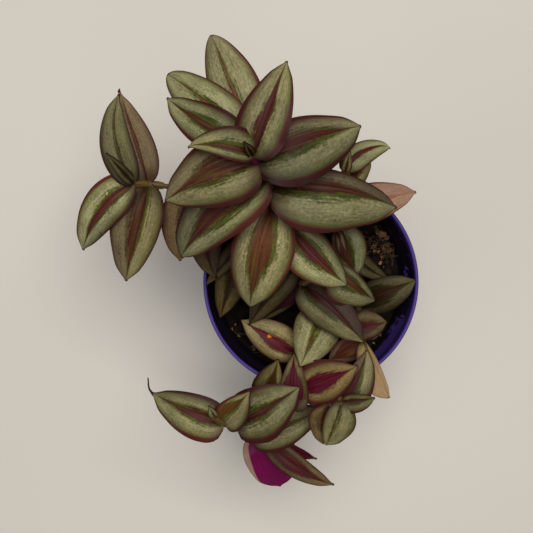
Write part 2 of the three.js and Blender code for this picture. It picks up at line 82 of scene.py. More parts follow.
# Each stem is a list of its nodes, from the soil to the growing tip, and each leaf grows from one of
# them. Young is how magenta the growing tip is. A leaf has a form and colours.
# Its form is as in the solids: tip is a place, width is in millimetres, and share is the left half's
# part of it. Lift, droop, sweep, roll and fold are in degrees. Rise, fall and pointed say how the
# outline opens and closes. A curl goes on past the tip.
# Its colours are stripe, the half width of the dark middle stripe, hue from rusty brown to magenta,
# and lean of the stripe to the left. Warm goes from grey-green to olive, light is painted light and
# shade that makes the whole leaf brighter or darker, and aged its share of dry tan. Margin and green
# are the widths of the maroon margin and of the olive zone, and rib is the pink midrib. The veils turn
# either half purple brown, strip is tan on the back, and spotted has a rusty spot. Tilt and fade are
# painted shade across and along the blade, one side or one end darker than the other.
# For most leaves a program fitted light, warm, green, tilt and fade to the photograph's tones. All
# the other values were typed.
SHOOTS = [
    dict(
        piece="leafy_crown", node="shoot_crown",
        young=1,
        nodes=[(303, 258, -13), (299, 246, 2), (290, 230, 17), (273, 206, 27), (269, 188, 36),
               (266, 179, 40), (257, 163, 46), (252, 155, 50)],
        leaves=[
            dict(node=7, tip=(287, 61, 50), width=19, lift=24, droop=18, roll=-8, rise=0.28,
                 stripe=0.22, hue=0.6, margin=0.16, green=0.14, warm=0.3, veil_left=0.15, light=0.89,
                 tilt=-0.04, painted_shade_along=0.5),
            dict(node=7, tip=(188, 147, 50), width=12, share=0.36, lift=52, droop=36, sweep=19,
                 fall=1, hue=0.4, margin=0.15, green=0.76, warm=0.24, lean=0.05, light=0.94,
                 tilt=0.12, painted_shade_along=0.5),
            dict(node=7, tip=(244, 142, 58), width=4, lift=10, droop=5, fold=50, stripe=0.3, hue=0.6,
                 margin=0.2, warm=0.88, light=0.46, green=0.8),
            dict(node=6, tip=(361, 126, 37), width=23.5, share=0.41, lift=30, droop=20, sweep=-2,
                 hue=0.35, lean=0.16, margin=0.17, green=0.8, warm=0.18, light=0.78, tilt=0.28,
                 painted_shade_along=0.5, veil_left=0.35),
            dict(node=6, tip=(165, 201, 36), width=25, share=0.48, lift=30, droop=20, sweep=6,
                 rise=0.3, stripe=0.26, hue=0.35, lean=-0.14, margin=0.14, rib=0.5, green=0.54,
                 warm=0.35, veil_right=0.4, light=0.93, tilt=-0.14, painted_shade_along=-0.12),
            dict(node=5, tip=(181, 257, 24), width=24, share=0.46, lift=28, droop=22, sweep=13,
                 rise=0.3, fall=0.66, stripe=0.3, hue=0.4, margin=0.16, green=0.79, warm=0.13,
                 light=0.9, tilt=0.35, painted_shade_along=-0.5, veil_right=0.3),
            dict(node=4, tip=(397, 208, 24), width=24, share=0.29, lift=26, droop=18, sweep=-13,
                 hue=0.3, lean=0.1, margin=0.1, rib=0.5, green=0.8, warm=0.19, veil_left=0.6,
                 light=0.78, tilt=-0.16, painted_shade_along=-0.13),
            dict(node=3, tip=(250, 307, 16), width=24, share=0.56, lift=28, droop=24, sweep=8,
                 rise=0.5, stripe=0.32, hue=0.2, margin=0.1, green=0.6, warm=0.36, light=1.21,
                 tilt=0.15, painted_shade_along=-0.5, veil_right=0.15),
            dict(node=2, tip=(347, 285, 12), width=19, share=0.45, lift=26, droop=20, sweep=8,
                 stripe=0.24, hue=0.45, rib=0.4, lean=0.06, margin=0.09, green=0.8, warm=0.16,
                 light=1.22, tilt=-0.35, painted_shade_along=-0.5),
            dict(node=1, tip=(249, 325, -1), width=15, lift=28, droop=22, stripe=0.3, hue=0.1,
                 warm=0.89, light=0.29, painted_shade_along=-0.2, veil_right=0.6),
        ],
    ),
    dict(
        piece="leafy_back", node="shoot_back",
        nodes=[(283, 232, -13), (272, 205, 4), (260, 168, 18), (252, 140, 25), (248, 138, 31),
               (245, 143, 37)],
        leaves=[
            dict(node=5, tip=(167, 98, 30), width=16.5, share=0.52, lift=24, droop=16, sweep=-12,
                 stripe=0.16, hue=0.3, margin=0.16, green=0.8, warm=0.12, light=0.85, tilt=0.11,
                 painted_shade_along=0.5),
            dict(node=4, tip=(168, 74, 22), width=18.5, share=0.54, lift=26, droop=18, fall=0.68,
                 pointed=False, stripe=0.07, hue=0.15, rib=0.9, green=0.35, warm=0.14, light=1.2,
                 tilt=-0.06, painted_shade_along=-0.24),
            dict(node=3, tip=(211, 35, 17), width=20, share=0.46, lift=28, droop=18, fall=0.74,
                 pointed=False, stripe=0.06, hue=0.15, rib=0.8, green=0.2, warm=0.14, veil_left=0.2,
                 veil_right=0.2, light=1.26, tilt=-0.11, painted_shade_along=-0.06),
        ],
    ),
    dict(
        piece="leafy_right", node="shoot_right",
        nodes=[(336, 250, -13), (338, 230, 3), (341, 213, 16), (345, 192, 24), (345, 172, 28)],
        leaves=[
            dict(node=4, tip=(390, 148, 18), width=10, share=0.43, lift=34, droop=30, sweep=-46,
                 fall=1, hue=0.7, margin=0.07, green=0, warm=0.07, light=1.15, tilt=0.08, painted_shade_along=0.5),
            dict(node=4, tip=(350, 151, 34), width=4, lift=16, droop=10, fold=30, hue=0.6,
                 margin=0.1, warm=0.6),
            dict(node=3, tip=(371, 161, 15), width=10, lift=24, droop=16, sweep=-20, stripe=0.25,
                 hue=0.7, warm=0.5),
            dict(node=2, tip=(416, 192, 12), width=16, lift=24, droop=14, sweep=-4, hue=0.8, warm=1,
                 aged=0.15, veil_left=1, veil_right=0.9, light=2.3),
            dict(node=1, tip=(344, 264, -1), width=5, lift=30, droop=20, fold=40, stripe=0.1,
                 hue=0.6, margin=0.2, warm=0.3, light=0.8),
            dict(node=1, tip=(355, 277, -4), width=14, share=0.6, lift=30, droop=14, sweep=-8,
                 stripe=0.5, margin=0.05, green=0.8, warm=0.01, light=0.91, tilt=0.2, painted_shade_along=-0.3,
                 lean=-0.35),
            dict(node=1, tip=(391, 280, -12), width=10, droop=6, sweep=24, stripe=0.15, hue=0.3,
                 margin=0.1, warm=0.43, light=0.44, veil_right=0.2, tilt=-0.35, painted_shade_along=-0.5),
        ],
    ),
    dict(
        piece="leafy_middle", node="shoot_middle",
        nodes=[(318, 262, -13), (310, 268, -4), (303, 284, 1), (319, 272, 5), (334, 266, 7)],
        leaves=[
            dict(node=4, tip=(375, 301, 3), width=16, share=0.27, lift=22, droop=16, sweep=3,
                 stripe=0.26, hue=0.2, margin=0.12, green=0.8, warm=0.2, light=0.7, tilt=-0.12,
                 painted_shade_along=-0.45),
            dict(node=2, tip=(364, 343, 5), width=18, share=0.43, lift=22, droop=14, sweep=-8,
                 hue=0.6, lean=-0.04, margin=0.06, green=0.8, warm=0.35, veil_left=0.85, light=0.51,
                 tilt=-0.35, painted_shade_along=0.5),
            dict(node=1, tip=(262, 321, -7), width=11, lift=16, droop=10, stripe=1.2, hue=1,
                 margin=0.05, light=0.3, warm=0.5),
        ],
    ),
    dict(
        piece="leafy_low", node="shoot_low",
        nodes=[(352, 290, -13), (358, 302, -8), (357, 318, -6), (353, 331, -4), (363, 340, 1)],
        leaves=[
            dict(node=1, tip=(416, 280, 2), width=15.5, share=0.46, lift=20, droop=16, fall=0.66,
                 stripe=0.4, hue=0.1, margin=0.06, green=0.6, warm=0.5, light=0.27, tilt=0.1,
                 painted_shade_along=1.2),
            dict(node=3, tip=(387, 322, -5), width=13.5, share=0.6, lift=16, droop=12, fold=18,
                 stripe=0.4, hue=0.9, margin=0.12, warm=1, aged=0.1, veil_left=0.3, veil_right=0.3,
                 light=0.56, tilt=0.2),
            dict(node=4, tip=(328, 361, -5), width=11, lift=16, droop=12, stripe=0.7, hue=0.4,
                 warm=1, light=1.1, veil_left=0.7, veil_right=0.7),
            dict(node=4, tip=(389, 398, 2), width=9.5, share=0.2, lift=30, droop=16, rise=0.6,
                 fall=0.5, stripe=0.04, hue=0.3, margin=0.03, warm=1, aged=1, light=1.08),
        ],
    ),
    dict(
        piece="leafy_left", node="shoot_left",
        nodes=[(262, 258, -13), (246, 238, 0), (214, 208, 9), (190, 192, 12), (148, 184, 15),
               (134, 184, 18)],
        leaves=[
            dict(node=5, tip=(119, 94, 18), width=13, lift=20, droop=12, sweep=-24, fold=22,
                 stripe=0.04, hue=0.6, margin=0.09, green=0.25, warm=0.36, veil_left=0.1, light=0.62,
                 tilt=-0.07, painted_shade_along=0.5),
            dict(node=5, tip=(106, 153, 25), width=5, lift=12, droop=8, fold=30, hue=0.4, margin=0.1,
                 warm=0.55, light=0.32, tilt=0.35, green=0.8),
            dict(node=5, tip=(83, 250, 5), width=17, share=0.46, lift=28, droop=18, sweep=16,
                 hue=0.45, margin=0.12, green=0.55, warm=0.14, light=1.17, tilt=-0.35, painted_shade_along=-0.5),
            dict(node=4, tip=(126, 281, 1), width=21, share=0.46, lift=28, droop=18, sweep=-3,
                 hue=0.35, lean=-0.05, margin=0.07, green=0.8, warm=0.46, veil_right=0.5, light=0.95,
                 tilt=0.04, painted_shade_along=0.21),
            dict(node=4, tip=(119, 91, 10), width=14.5, lift=16, droop=12, sweep=4, fall=0.95,
                 curl=[(119.5, 89, 12)], stripe=0.12, hue=0.4, margin=0.07, green=0, warm=0.63,
                 light=1.14, veil_left=0.55, veil_right=0.55, painted_shade_along=0.5),
            dict(node=3, tip=(180, 261, 2), width=18, share=0.44, lift=24, droop=16, hue=0.3,
                 margin=0.07, green=0.57, warm=1, light=1.2, veil_left=0.5, veil_right=0.5,
                 painted_shade_along=-0.2),
            dict(node=2, tip=(216, 278, 7), width=15, share=0.45, lift=22, droop=12, sweep=24,
                 stripe=0.25, hue=0.6, margin=0.05, green=0.8, warm=1, veil_left=0.6, veil_right=0.4,
                 light=0.33, tilt=-0.35),
            dict(node=1, tip=(206, 285, 4), width=8, lift=30, droop=12, hue=0.6, margin=0.06,
                 green=0, warm=0.99, light=0.27),
            dict(node=1, tip=(220, 318, -7), width=15, lift=24, droop=20, stripe=0.3, hue=0,
                 margin=0.05, warm=1, light=0.31, tilt=0.06, painted_shade_along=0.9),
        ],
    ),
    dict(
        piece="leafy_trail_right", node="shoot_trail_right",
        nodes=[(326, 300, -13), (321, 313, -4), (317, 345, -2), (313, 378, 3), (303, 389, 2.6),
               (333, 405, 7), (342, 401, 12)],
        leaves=[
            dict(node=1, tip=(300, 367, 9), width=20, share=0.53, lift=24, droop=16, stripe=0.07,
                 hue=0.12, margin=0.02, green=0.4, warm=0.25, light=1.03, painted_shade_along=0.06),
            dict(node=4, tip=(358, 366, 13), width=20, lift=14, droop=16, rise=0.35, stripe=0.36,
                 hue=1, margin=0.2, green=0.2, warm=1, light=1.1, tilt=-0.02, painted_shade_along=-0.31,
                 veil_left=0.25, veil_right=0.25),
            dict(node=5, tip=(367, 350, 6), width=14.5, share=0.38, lift=20, droop=14, sweep=16,
                 fold=20, stripe=0.26, hue=0.6, margin=0.15, green=0.8, warm=0.34, light=0.81,
                 tilt=-0.15, painted_shade_along=0.5, veil_left=0.6),
            dict(node=5, tip=(323, 444, 2), width=13.5, share=0.34, lift=24, droop=18, stripe=0.45,
                 hue=0.7, warm=1, light=0.9, veil_left=0.3, veil_right=0.3, green=0.8),
            dict(node=6, tip=(326, 445, 8), width=13, share=0.62, lift=32, droop=22, rise=0.55,
                 stripe=0.05, hue=0.1, margin=0.06, green=0.3, warm=0.41, light=0.76, tilt=0.08,
                 painted_shade_along=0.5, lean=-0.05),
            dict(node=6, tip=(375, 398, 13), width=8, share=0.36, lift=20, droop=14, fold=24,
                 hue=0.4, margin=0.12, green=0.8, warm=0.66, light=0.52),
        ],
    ),
    dict(
        piece="leafy_trail_left", node="shoot_trail_left",
        nodes=[(296, 340, -13), (297, 352, -5), (289, 374, 3), (289, 408, 6), (270, 397, 3),
               (264, 420, -8), (266, 440, -19), (252, 438, -9), (236, 422, 1), (224, 423, 5),
               (215, 416, 9)],
        leaves=[
            dict(node=1, tip=(241, 320, -3), width=16, lift=20, droop=14, stripe=0.34, hue=0.8,
                 margin=0.05, green=0.14, warm=0.6, light=1.22, tilt=-0.09, painted_shade_along=-0.3,
                 veil_left=0.15, veil_right=0.15, spotted=1, lean=0.08),
            dict(node=3, tip=(294, 353, 6), width=13, share=0.42, lift=20, droop=14, rise=0.2,
                 stripe=0.7, hue=1, margin=0.06, warm=0.91, light=0.7, veil_left=0.3, veil_right=0.3),
            dict(node=4, tip=(278, 359, 8), width=13, share=0.67, lift=4, droop=4, fold=30, rise=0.3,
                 stripe=0.22, hue=0.1, margin=0.1, green=0.8, warm=0.81, light=0.63, tilt=-0.35),
            dict(node=6, tip=(280, 486, -30), width=24, fold=8, rise=0.12, fall=0.38, roll=180,
                 stripe=0.3, hue=0.9, margin=0.06, warm=0.8, strip=0.25, pointed=False),
            dict(node=6, tip=(334, 485, -20), width=11, lift=20, droop=14, sweep=10, stripe=0.6,
                 hue=0.7, margin=0.07, green=0.68, warm=0.9, light=0.85, painted_shade_along=0.2, veil_left=0.5,
                 veil_right=0.5),
            dict(node=6, tip=(317, 459, -23), width=6, lift=12, droop=10, stripe=4, hue=0.95,
                 margin=0.1, light=0.8),
            dict(node=7, tip=(325, 407, -8), width=17.5, share=0.49, lift=28, droop=18, stripe=0.05,
                 hue=0.1, margin=0.14, green=0.4, warm=0.3, light=0.72, tilt=-0.2, painted_shade_along=-0.34),
            dict(node=8, tip=(300, 387, 9), width=24, share=0.46, lift=30, droop=20, stripe=0.16,
                 margin=0.18, green=0.6, warm=0.3, light=0.79, painted_shade_along=-0.2),
            dict(node=9, tip=(152, 393, 2), width=19, share=0.57, lift=24, droop=14, rise=0.34,
                 curl=[(149, 388, 6), (148, 378, 9)], stripe=0.17, hue=0.55, margin=0.15, rib=0.4,
                 warm=0.3, light=0.96, tilt=0.3, painted_shade_along=-0.5),
            dict(node=9, tip=(250, 391, 17), width=14, share=0.52, lift=22, droop=12, fold=30,
                 stripe=0.38, hue=0, margin=0.12, green=1, light=1.09, tilt=0.35, painted_shade_along=-0.1,
                 lean=0.6),
            dict(node=10, tip=(209, 406, 15), width=4, lift=14, droop=8, fold=40, stripe=0.1,
                 hue=0.3, margin=0.04, warm=0.2),
        ],
    ),
]


# Pot and soil sizes, in millimetres
RIM_WIDTH = 1.5
ROLL_STEPS = 8
RIM_BAND = 8
SHOULDER_RADIUS = 42.6
BASE_RADIUS = 31.5
WALL = 1.1
FLOOR_THICKNESS = 1.6
DRAIN_COUNT = 8
DRAIN_RADIUS = 3
DRAIN_RING = 23
SOIL_BELOW_RIM = 17
SOIL_TO_WALL = 0.1
SOIL_BOTTOM = 2.1
SOIL_SHOULDER = 4
SOIL_SIDES = 120
SOIL_RINGS = 34
# Swells, clods and grit of the soil's surface: noise layer, changes per millimetre and height
SOIL_SWELLS = [(3, 0.06, 1.4), (7, 0.22, 0.9), (11, 0.6, 0.6)]
# At the wall the soil keeps this share of its relief, and regains the rest this fast towards the middle
EDGE_RELIEF = 0.3
EDGE_STEEPNESS = 6
# Sizes of the bits on the soil in millimetres, the last one of the chips being the commonest
CRUMB_SIZES = (0.6, 2.6)
FIBRE_SIZES = (0.5, 1.4)
CHIP_SIZES = (0.6, 3.2, 1.0)
FIBRE_SHARE = 0.3
SOIL_SEED = 11
# Heaps of bark: where, their spread and rise in millimetres, and their share of the pieces
HEAPS = [
    ((383, 238), 3.6, 2.2, 0.3),
    ((389, 255), 3.2, 1.6, 0.24),
    ((373, 242), 3.0, 1.2, 0.14),
    ((229, 336), 4.0, 1.5, 0.16),
    ((381, 340), 3.0, 1.8, 0.14),
    ((252, 352), 2.5, 0.5, 0.06),
]
# Single bits: where they are seen, their size in millimetres and share of bark. Each one is dropped from
# there onto the soil, and slides inwards where it would meet the pot's wall
LOOSE_BITS = [
    ((384, 233, -12), 4.2, 0.8),
    ((388, 238, -12), 2.6, 0.6),
    ((377.3, 346, -10), 1.0, 3.5),
    ((375, 337, -15), 2.4, 0.9),
    ((384.5, 338, -10), 1.8, 0.5),
    ((231, 329.5, -14), 1.0, 3.2),
    ((239, 336, -16), 1.0, 1.6),
    ((225.5, 336, -6.5), 0.7, 1.4),
    ((254, 350, -16), 0.8, 1.8),
]
SIDE_SLOPE = (SHOULDER_RADIUS - BASE_RADIUS) / (POT_TOP - RIM_BAND)
# Patches of the inner wall wiped clean: where, and how far each reaches, in millimetres
WIPED_SPOTS = [
    ((407.5, 268.5, -9), 0.9),
    ((406, 273.5, -9.4), 0.8),
    ((398.5, 320.5, -10.6), 1.5),
    ((394.5, 327, -11.2), 1.7),
    ((391, 333, -11.4), 1.5),
]


# Shape helpers
def seen(place):
    """Where the photograph shows this column and row at this height above the rim, in metres."""
    column, row, height = place
    scale = PIXEL * (1 - height / VIEW_ABOVE_RIM)
    x = (PHOTO_MIDDLE - POT_COLUMN) * PIXEL + (column - PHOTO_MIDDLE) * scale
    y = (POT_ROW - PHOTO_MIDDLE) * PIXEL - (row - PHOTO_MIDDLE) * scale
    return Vector((x, y, POT_TOP + height)) * MM


def start_clean():
    """Leaves edit mode and deselects everything, because an operator acts on all that is selected."""
    if bpy.context.object and bpy.context.object.mode != "OBJECT":
        bpy.ops.object.mode_set(mode="OBJECT")
    bpy.ops.object.select_all(action="DESELECT")


def choose(piece):
    """Makes the piece the only selected and the active one."""
    start_clean()
    piece.select_set(True)
    bpy.context.view_layer.objects.active = piece


def settle(piece):
    """Puts the piece's place into its mesh, so that its object sits at the origin."""
    choose(piece)
    bpy.ops.object.transform_apply(location=True, rotation=True, scale=True)


def join(name, pieces):
    """Joins the pieces into one object of that name."""
    choose(pieces[0])
    for piece in pieces:
        piece.select_set(True)
    if len(pieces) > 1:
        bpy.ops.object.join()
    pieces[0].name = name
    pieces[0].data.name = name
    return pieces[0]


def copy_of(template):
    """A copy with its own mesh."""
    piece = template.copy()
    piece.data = template.data.copy()
    bpy.context.scene.collection.objects.link(piece)
    return piece


def write_values(piece, name, values):
    """Stores a vector for each vertex under a name that a material reads."""
    layer = piece.data.attributes.new(name, "FLOAT_VECTOR", "POINT")
    layer.data.foreach_set("vector", [number for value in values for number in value])


def sweep(name, rings, sides):
    """A closed tube: one circle, extruded ring by ring. A ring is its centre, two axes and radius."""
    start_clean()
    bpy.ops.mesh.primitive_circle_add(vertices=sides, radius=1, fill_type="NGON")
    piece = bpy.context.object
    bpy.ops.object.mode_set(mode="EDIT")
    mesh = bmesh.from_edit_mesh(piece.data)
    turn = mesh.verts.layers.float.new("turn")
    step = mesh.verts.layers.float.new("step")
    for vert in mesh.verts:
        vert[turn] = math.atan2(vert.co.y, vert.co.x)
    for number, (centre, right, ahead, radius) in enumerate(rings):
        if number:
            bpy.ops.mesh.extrude_region_move()
            mesh = bmesh.from_edit_mesh(piece.data)
            turn = mesh.verts.layers.float["turn"]
            step = mesh.verts.layers.float["step"]
        for vert in mesh.verts:
            if vert.select:
                angle = vert[turn]
                vert.co = centre + (right * math.cos(angle) + ahead * math.sin(angle)) * radius
                vert[step] = number
        bmesh.update_edit_mesh(piece.data)
    bpy.ops.mesh.select_all(action="SELECT")
    bpy.ops.mesh.normals_make_consistent(inside=False)
    bpy.ops.object.mode_set(mode="OBJECT")
    piece.name = name
    return piece


def upright_rings(profile):
    """Rings about +Z from a profile of (radius, height) in millimetres."""
    right, ahead = Vector((1, 0, 0)), Vector((0, 1, 0))
    return [(Vector((0, 0, height * MM)), right, ahead, radius * MM) for radius, height in profile]


def smooth(angle):
    """Smooths the chosen piece, but for edges sharper than the angle."""
    bpy.ops.object.shade_smooth_by_angle(angle=math.radians(angle))


def dress(piece, node, slot, *finishes):
    """Gives the piece its finishes and ties it to the frame."""
    piece.data.materials.clear()
    for finish in finishes:
        piece.data.materials.append(finish)
    settle(piece)
    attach(piece, BODY)
    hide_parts(node)


# Finishes
class Finish:
    """A material and short calls for building its nodes."""

    def __init__(self, name):
        self.material = bpy.data.materials.new(name)
        self.material.use_nodes = True
        self.tree = self.material.node_tree
        self.shader = self.tree.nodes["Principled BSDF"]

    def feed(self, socket, value):
        if isinstance(value, bpy.types.NodeSocket):
            self.tree.links.new(value, socket)
        elif socket.type == "RGBA":
            socket.default_value = (*value, 1)
        else:
            socket.default_value = value

    def node(self, kind, inputs, **settings):
        made = self.tree.nodes.new(kind)
        for name, value in settings.items():
            setattr(made, name, value)
        for key, value in inputs.items():
            self.feed(made.inputs[key], value)
        return made

    def math(self, operation, *values):
        return self.node("ShaderNodeMath", dict(enumerate(values)), operation=operation).outputs[0]

    def times(self, *values):
        return self.math("MULTIPLY", *values)

    def add(self, *values):
        return self.math("ADD", *values)

    def less(self, *values):
        return self.math("SUBTRACT", *values)

    def mix(self, share, first, second):
        return self.node("ShaderNodeMix", {0: share, 6: first, 7: second}, data_type="RGBA").outputs[2]

    def between(self, value, low, high, start=0.0, end=1.0):
        """Runs smoothly from start to end while the value goes from low to high."""
        inputs = {0: value, 1: low, 2: high, 3: start, 4: end}
        kind = "ShaderNodeMapRange"
        return self.node(kind, inputs, interpolation_type="SMOOTHSTEP").outputs[0]

    def noise(self, vector, scale, detail=2.0, roughness=0.5):
        inputs = {"Vector": vector, "Scale": scale, "Detail": detail, "Roughness": roughness}
        return self.node("ShaderNodeTexNoise", inputs).outputs[0]

    def stored(self, name):
        return self.node("ShaderNodeAttribute", {}, attribute_name=name).outputs["Vector"]

    def split(self, vector):
        return self.node("ShaderNodeSeparateXYZ", {0: vector}).outputs

    def sum(self, *terms):
        """The sum of values, each times its weight."""
        total = 0.0
        for value, weight in terms:
            total = self.math("MULTIPLY_ADD", value, weight, total)
        return total

    def grain(self, across, along, seed, stretch, detail):
        """Noise about zero, drawn out by how often it changes across and along."""
        parts = [self.times(part, rate) for part, rate in zip((across, along, seed), stretch)]
        return self.less(self.noise(self.vector(*parts), 1.0, detail, 0.6), 0.5)

    def vector(self, x, y, z):
        return self.node("ShaderNodeCombineXYZ", {0: x, 1: y, 2: z}).outputs[0]

    def place(self):
        return self.node("ShaderNodeTexCoord", {}).outputs["Object"]

    def shade(self, colour, amount):
        """The colour made brighter or darker by a changing amount."""
        inputs = {0: colour, "Scale": amount}
        return self.node("ShaderNodeVectorMath", inputs, operation="SCALE").outputs[0]

    def bump(self, height, strength, distance):
        inputs = {"Strength": strength, "Distance": distance, "Height": height}
        self.feed(self.shader.inputs["Normal"], self.node("ShaderNodeBump", inputs).outputs[0])

    def finish(self, skin, roughness, gloss):
        self.feed(self.shader.inputs["Base Color"], skin)
        self.feed(self.shader.inputs["Roughness"], roughness)
        self.shader.inputs["Specular IOR Level"].default_value = gloss
        return self.material


def orange_spot(made, across, along, flecks):
    """Where the one rusty spot lies on a blade, with a ragged edge."""
    sideways = made.math("DIVIDE", made.less(across, SPOT_ACROSS), SPOT_WIDTH)
    lengthways = made.math("DIVIDE", made.less(along, SPOT_ALONG), SPOT_LENGTH)
    gap = made.math("SQRT", made.sum((sideways, sideways), (lengthways, lengthways)))
    return made.between(made.math("MULTIPLY_ADD", flecks, 3.0, gap), 0.5, 1.2, 1.0, 0.0)


def leaf_face_finish(leaf):
    """The upper side: silver bands between a dark middle stripe, olive zones and maroon margins, under
    painted light and shade.
    """
    made = Finish("leaf_face")
    across, along, seed = made.split(made.stored("blade"))
    width, hue, lean = made.split(made.stored("stripe"))
    warm, light, aged = made.split(made.stored("tone_and_painted_light"))
    margin, rib, green = made.split(made.stored("edge"))
    veil_left, veil_right, _ = made.split(made.stored("veil"))
    tilt, painted_shade_along, spotted = made.split(made.stored("painted_shade_and_spot"))
    side = made.math("ABSOLUTE", across)

    # Flames, fine fibres, bright flecks and broad patches, each drawn out along the blade
    flames = made.grain(across, along, seed, (9.0, 1.6, 40.0), 2.0)
    fibres = made.grain(across, along, seed, (17.0, 3.5, 70.0), 3.0)
    flecks = made.grain(across, along, seed, (18.0, 36.0, 110.0), 3.0)
    patches = made.grain(across, along, seed, (2.2, 4.0, 90.0), 2.0)
    ragged = made.sum((flames, 0.3), (fibres, 0.3), (patches, 0.2), (flecks, 0.22))

    # The dark middle stripe widens from the base, then narrows to the tip
    opening = made.between(along, 0.0, 0.3, 0.55, 1.0)
    closing = made.between(along, 0.35, 1.0, 1.0, 0.06)
    core = made.times(width, made.times(opening, closing))
    shifted = made.less(across, made.times(lean, closing))
    off = made.add(made.math("ABSOLUTE", shifted), made.times(ragged, closing))
    in_core = made.between(off, made.add(core, 0.03), made.less(core, 0.03))

    # Silver starts past an olive zone and fades before the margin, which is widest near the base
    zone = made.times(made.add(made.times(green, 0.2), 0.02), closing)
    band = made.add(core, zone)
    inner = made.between(off, made.less(band, 0.06), made.add(band, 0.12))
    brim = made.times(margin, made.between(along, 0.1, 0.8, 1.5, 0.85))
    edge_start = made.less(1.0, brim)
    edge = made.add(side, made.times(ragged, 0.4))
    edge = made.add(edge, made.between(along, 0.965, 1.0))
    in_margin = made.between(edge, made.less(edge_start, 0.1), made.add(edge_start, 0.08))
    outer = made.between(edge, made.less(edge_start, 0.36), edge_start, 1.0, 0.3)

    olive = made.mix(warm, leaf.olive, leaf.olive_warm)
    olive = made.shade(olive, made.sum((1.0, 1.0), (patches, 1.0), (fibres, 1.8), (flecks, 1.2)))
    pale = made.mix(warm, leaf.silver, leaf.silver_warm)
    # Painted glints: the brightest flecks on the silver are lightened further, as a sparkle of light.
    painted_glint = made.between(flecks, 0.08, 0.22)
    lively = made.sum((1.0, 1.0), (flecks, 1.6), (fibres, 1.6), (flames, 0.6), (patches, 1.2), (painted_glint, 0.4))
    pale = made.shade(pale, lively)
    skin = made.mix(made.times(inner, outer), olive, pale)
    veil = made.mix(made.between(across, -0.04, 0.04), veil_right, veil_left)
    veiled = made.shade(leaf.veil, made.sum((1.0, 1.0), (flecks, 1.6), (fibres, 1.2)))
    skin = made.mix(veil, skin, veiled)
    brown = made.mix(made.between(hue, 0.0, 0.5), leaf.brown, leaf.maroon)
    dark = made.mix(made.between(hue, 0.5, 1.0), brown, leaf.magenta)
    dark = made.shade(dark, made.sum((1.0, 1.0), (fibres, 1.8), (flames, 1.2), (flecks, 0.8)))
    mossy = made.times(made.between(flames, 0.0, 0.2, 0.0, 0.75), made.between(hue, 0.5, 0.9, 1.0, 0.0))
    dark = made.mix(mossy, dark, olive)
    skin = made.mix(in_core, skin, dark)
    line = made.between(side, 0.008, 0.03, 1.0, 0.0)
    line = made.times(line, made.times(rib, closing))
    skin = made.mix(line, skin, leaf.rib)
    dry = made.shade(leaf.dry, made.sum((1.0, 1.0), (fibres, 1.2), (patches, 0.8)))
    skin = made.mix(made.times(aged, made.between(along, 0.15, 0.6, 0.1, 1.0)), skin, dry)
    blush = made.times(made.between(fibres, -0.02, 0.2), made.between(edge, 0.2, 0.9, 0.15, 0.65))
    skin = made.mix(blush, skin, leaf.margin)
    edging = made.shade(leaf.margin, made.between(side, 0.7, 1.0, 1.3, 0.9))
    skin = made.mix(in_margin, skin, edging)
    # Painted shade near the stem: the base of each blade is tinted maroon for the shade at the middle of the
    # rosette.
    skin = made.mix(made.between(along, 0.0, 0.2, 0.6, 0.0), skin, leaf.margin)
    skin = made.mix(made.times(spotted, orange_spot(made, across, along, flecks)), skin, leaf.spot)
    # Painted light and shade: light makes the whole blade brighter or darker, tilt paints one side darker and
    # fade one end, and the base is painted darker for the shade at the middle of the rosette.
    sideways = made.math("MULTIPLY_ADD", tilt, across, 1.0)
    lengthways = made.math("MULTIPLY_ADD", painted_shade_along, made.less(along, 0.5), 1.0)
    lengthways = made.times(lengthways, made.between(along, 0.0, 0.22, 0.65, 1.0))
    skin = made.shade(skin, made.times(light, made.times(sideways, lengthways)))

    made.bump(made.sum((fibres, 0.7), (flecks, 0.5)), 0.4, 0.0002)
    rough = made.sum((leaf.roughness, 1.0), (flecks, 0.3))
    return made.finish(skin, rough, leaf.gloss)


def leaf_back_finish(leaf):
    """The magenta underside, with faint lines along it and a tan strip where a leaf has one."""
    made = Finish("leaf_back")
    across, along, seed = made.split(made.stored("blade"))
    strip = made.split(made.stored("veil"))[2]
    fibres = made.grain(across, along, seed, (12.0, 1.5, 40.0), 3.0)
    brim = made.less(1.0, made.times(strip, made.between(along, 0.2, 1.0, 1.0, 0.1)))
    tan = made.between(across, brim, made.add(brim, 0.05))
    skin = made.mix(tan, leaf.under, leaf.under_tan)
    skin = made.shade(skin, made.sum((1.0, 1.0), (fibres, 0.9)))
    made.bump(fibres, 0.3, 0.0002)
    return made.finish(skin, 0.42, leaf.gloss)


def stem_finish(stem):
    """Olive stems, streaked with purple along their length and magenta at the growing tip."""
    made = Finish("stem")
    round_x, round_y, along = made.split(made.stored("blade"))
    young = made.split(made.stored("stripe"))[0]
    rates = zip((round_x, round_y, along), (2.5, 2.5, 60.0))
    lines = made.vector(*(made.times(part, rate) for part, rate in rates))
    streak = made.noise(lines, 1.0, 3.0, 0.6)
    skin = made.mix(made.between(streak, 0.48, 0.62), stem.colour, stem.streak)
    skin = made.mix(made.between(young, 0.0, 0.6), skin, stem.young)
    made.bump(streak, 0.3, 0.0003)
    return made.finish(skin, 0.4, 0.25)


